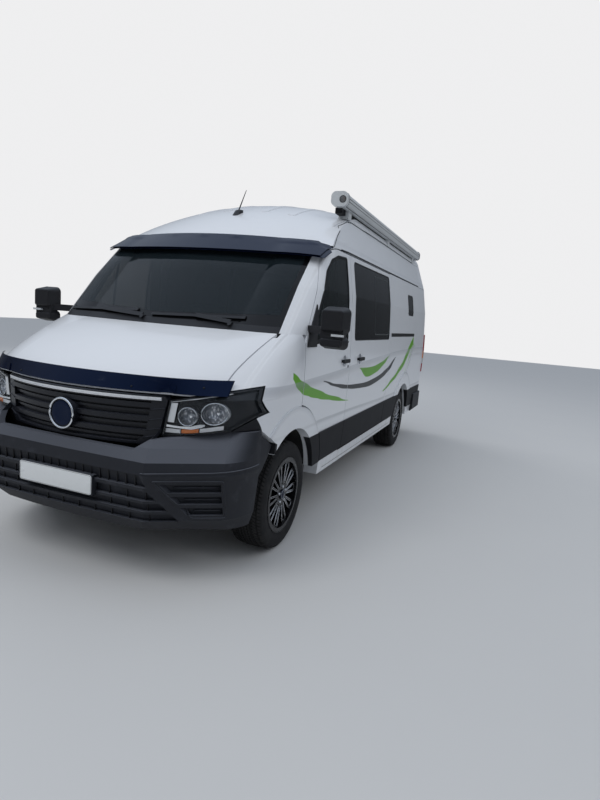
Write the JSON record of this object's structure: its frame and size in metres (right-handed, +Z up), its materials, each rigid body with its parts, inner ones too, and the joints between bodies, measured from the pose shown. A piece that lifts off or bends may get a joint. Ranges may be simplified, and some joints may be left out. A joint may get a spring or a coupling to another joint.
{
  "type": "camper van",
  "caption": "White high-roof camper van with opening doors and bonnet, a side awning, a sun visor and wheels that steer and roll.",
  "frame": {"origin": "on the ground at the centre of the whole vehicle", "axes": "+Z up, the nose points to -Y, and the sliding-door side is +X"},
  "size_m": [2.594, 5.9857, 2.585],
  "materials": {
    "white": "gloss",
    "dark_plastic": "matte",
    "gloss_black": "gloss",
    "clear_glass": "gloss",
    "privacy_glass": "gloss",
    "lamp_chrome": "gloss",
    "lamp_red": "gloss",
    "awning_case": "satin",
    "floor_steel": "satin",
    "tyre_rubber": "matte",
    "rim_alloy": "gloss",
    "dash_plastic": "matte",
    "seat_fabric": "matte",
    "cabinet_board": "satin",
    "curtain_cloth": "matte"
  },
  "bodies": {
    "root": {"roof": "white", "side_wall_left": "white", "side_wall_right": "white", "front_wings": "white", "sliding_door": "white", "front_bumper": "dark_plastic", "rear_bumper": "dark_plastic", "grille": "dark_plastic", "scuttle": "dark_plastic", "aerial": "dark_plastic", "wipers": "dark_plastic", "slide_rail": "dark_plastic", "slide_handle": "dark_plastic", "sun_visor": "gloss_black", "windscreen": "clear_glass", "headlamp_lenses": "clear_glass", "side_glass": "privacy_glass", "headlamp_housings": "lamp_chrome", "grille_trim": "lamp_chrome", "tail_lamps": "lamp_red", "awning": "awning_case", "floor_pan": "floor_steel", "firewall": "floor_steel", "wheel_liners": "floor_steel", "chassis": "floor_steel", "towing_eye": "floor_steel", "suspension": "floor_steel", "engine": "floor_steel", "exhaust": "floor_steel", "dashboard": "dash_plastic", "seat_bases": "dash_plastic", "cushions": "seat_fabric", "furniture": "cabinet_board", "curtains": "curtain_cloth"},
    "bonnet": {"bonnet": "white", "bonnet_deflector": "gloss_black"},
    "front_door_left": {"front_door_left": "white", "door_glass_left": "clear_glass", "door_handle_left": "dark_plastic", "mirror_left": "dark_plastic"},
    "front_door_right": {"front_door_right": "white", "door_glass_right": "clear_glass", "door_handle_right": "dark_plastic", "mirror_right": "dark_plastic"},
    "rear_door_left": {"rear_door_left": "white", "rear_glass_left": "privacy_glass"},
    "rear_door_right": {"rear_door_right": "white", "rear_glass_right": "privacy_glass"},
    "knuckle_left": {"knuckle_left": "floor_steel"},
    "knuckle_right": {"knuckle_right": "floor_steel"},
    "steering_wheel": {"steering_wheel": "dash_plastic"},
    "wheel_front_left": {"tyre_front_left": "tyre_rubber", "rim_front_left": "rim_alloy"},
    "wheel_front_right": {"tyre_front_right": "tyre_rubber", "rim_front_right": "rim_alloy"},
    "wheel_rear_left": {"tyre_rear_left": "tyre_rubber", "rim_rear_left": "rim_alloy"},
    "wheel_rear_right": {"tyre_rear_right": "tyre_rubber", "rim_rear_right": "rim_alloy"}
  },
  "joints": [
    {"name": "bonnet_hinge", "type": "hinge", "parent": "root", "child": "bonnet", "pos_m": [0, -1.99, 1.445], "axis": [-1, 0, 0], "range_deg": [0, 50]},
    {"name": "front_door_left_hinge", "type": "hinge", "parent": "root", "child": "front_door_left", "pos_m": [1.022, -1.8865, 1], "axis": [0, 0, -1], "range_deg": [0, 70]},
    {"name": "front_door_right_hinge", "type": "hinge", "parent": "root", "child": "front_door_right", "pos_m": [-1.022, -1.8865, 1], "axis": [0, 0, 1], "range_deg": [0, 70]},
    {"name": "rear_door_left_hinge", "type": "hinge", "parent": "root", "child": "rear_door_left", "pos_m": [0.9085, 2.968, 1.4], "axis": [0, 0, -1], "range_deg": [0, 180]},
    {"name": "rear_door_right_hinge", "type": "hinge", "parent": "root", "child": "rear_door_right", "pos_m": [-0.9085, 2.968, 1.4], "axis": [0, 0, 1], "range_deg": [0, 180]},
    {"name": "steer_left", "type": "hinge", "parent": "root", "child": "knuckle_left", "pos_m": [0.75, -1.99, 0.365], "axis": [0, 0, 1], "range_deg": [-35, 35]},
    {"name": "steer_right", "type": "hinge", "parent": "root", "child": "knuckle_right", "pos_m": [-0.75, -1.99, 0.365], "axis": [0, 0, 1], "range_deg": [-35, 35]},
    {"name": "steering_wheel_turn", "type": "hinge", "parent": "root", "child": "steering_wheel", "pos_m": [-0.4, -1.35, 1.29], "axis": [0, 0.5736, 0.8192], "range_deg": [-540, 540]},
    {"name": "wheel_front_left_spin", "type": "hinge", "parent": "knuckle_left", "child": "wheel_front_left", "pos_m": [0.8625, -1.99, 0.365], "axis": [1, 0, 0], "continuous": true},
    {"name": "wheel_front_right_spin", "type": "hinge", "parent": "knuckle_right", "child": "wheel_front_right", "pos_m": [-0.8625, -1.99, 0.365], "axis": [1, 0, 0], "continuous": true},
    {"name": "wheel_rear_left_spin", "type": "hinge", "parent": "root", "child": "wheel_rear_left", "pos_m": [0.8625, 1.65, 0.365], "axis": [1, 0, 0], "continuous": true},
    {"name": "wheel_rear_right_spin", "type": "hinge", "parent": "root", "child": "wheel_rear_right", "pos_m": [-0.8625, 1.65, 0.365], "axis": [1, 0, 0], "continuous": true}
  ],
  "couplings": [
    {"joint": "steer_left", "follows": "steering_wheel_turn", "ratio": 0.064815},
    {"joint": "steer_right", "follows": "steering_wheel_turn", "ratio": 0.064815}
  ]
}
